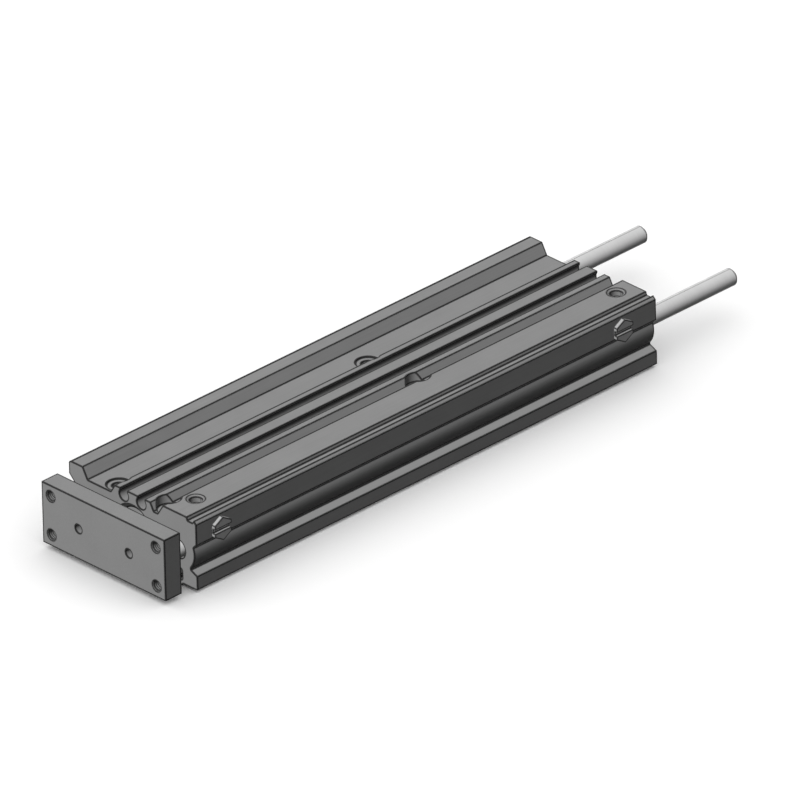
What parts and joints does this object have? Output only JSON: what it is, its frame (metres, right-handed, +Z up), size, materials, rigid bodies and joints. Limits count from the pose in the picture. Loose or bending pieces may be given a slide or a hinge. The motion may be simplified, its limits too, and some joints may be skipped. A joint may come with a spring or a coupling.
{
  "type": "compact guided cylinder",
  "caption": "Flat pneumatic cylinder with two guide rods: a grooved body with top ports and side plugs slides a tapped end plate in and out.",
  "frame": {"origin": "centre of the four base mounting holes, on the bottom face", "axes": "+X the way the end plate travels, +Y towards the side of the two plugs, +Z up from the bottom face"},
  "size_m": [0.2595, 0.0598, 0.026],
  "materials": {
    "body_aluminium": "matt anodised, dark grey",
    "plate_aluminium": "matt anodised, dark grey",
    "cover_aluminium": "turned",
    "rod_steel": "hard chromed and ground",
    "plug_steel": "nickel plated",
    "bearing_steel": "hardened and ground",
    "spring_steel": "phosphated",
    "seal_rubber": "moulded",
    "bumper_rubber": "moulded",
    "cage_resin": "moulded",
    "felt": "oiled felt",
    "magnet": "bonded ferrite"
  },
  "bodies": {
    "cylinder_unit": {"cylinder_body": "body_aluminium", "rod_cover": "cover_aluminium", "head_cover": "cover_aluminium", "front_retaining_ring": "spring_steel", "rear_retaining_ring": "spring_steel", "port_plug_front": "plug_steel", "port_plug_rear": "plug_steel", "rod_cover_o_ring": "seal_rubber", "rod_seal": "seal_rubber", "head_cover_o_ring": "seal_rubber", "front_bumper": "bumper_rubber", "rear_bumper": "bumper_rubber", "guide_holder_left": "body_aluminium", "guide_felt_left": "felt", "bush_spacer_left": "cover_aluminium", "guide_holder_right": "body_aluminium", "guide_felt_right": "felt", "bush_spacer_right": "cover_aluminium", "bush_shell_front_left": "bearing_steel", "bush_cage_front_left": "cage_resin", "bush_balls_front_left": "bearing_steel", "bush_shell_front_right": "bearing_steel", "bush_cage_front_right": "cage_resin", "bush_balls_front_right": "bearing_steel", "bush_shell_rear_left": "bearing_steel", "bush_cage_rear_left": "cage_resin", "bush_balls_rear_left": "bearing_steel", "bush_shell_rear_right": "bearing_steel", "bush_cage_rear_right": "cage_resin", "bush_balls_rear_right": "bearing_steel"},
    "plate_unit": {"end_plate": "plate_aluminium", "piston_rod": "rod_steel", "guide_rod_left": "rod_steel", "guide_rod_right": "rod_steel", "piston": "cover_aluminium", "piston_seal": "seal_rubber", "piston_magnet": "magnet"}
  },
  "joints": [
    {"name": "stroke", "type": "slide", "parent": "cylinder_unit", "child": "plate_unit", "axis": [1, 0, 0], "range_m": [0, 0.175]}
  ]
}
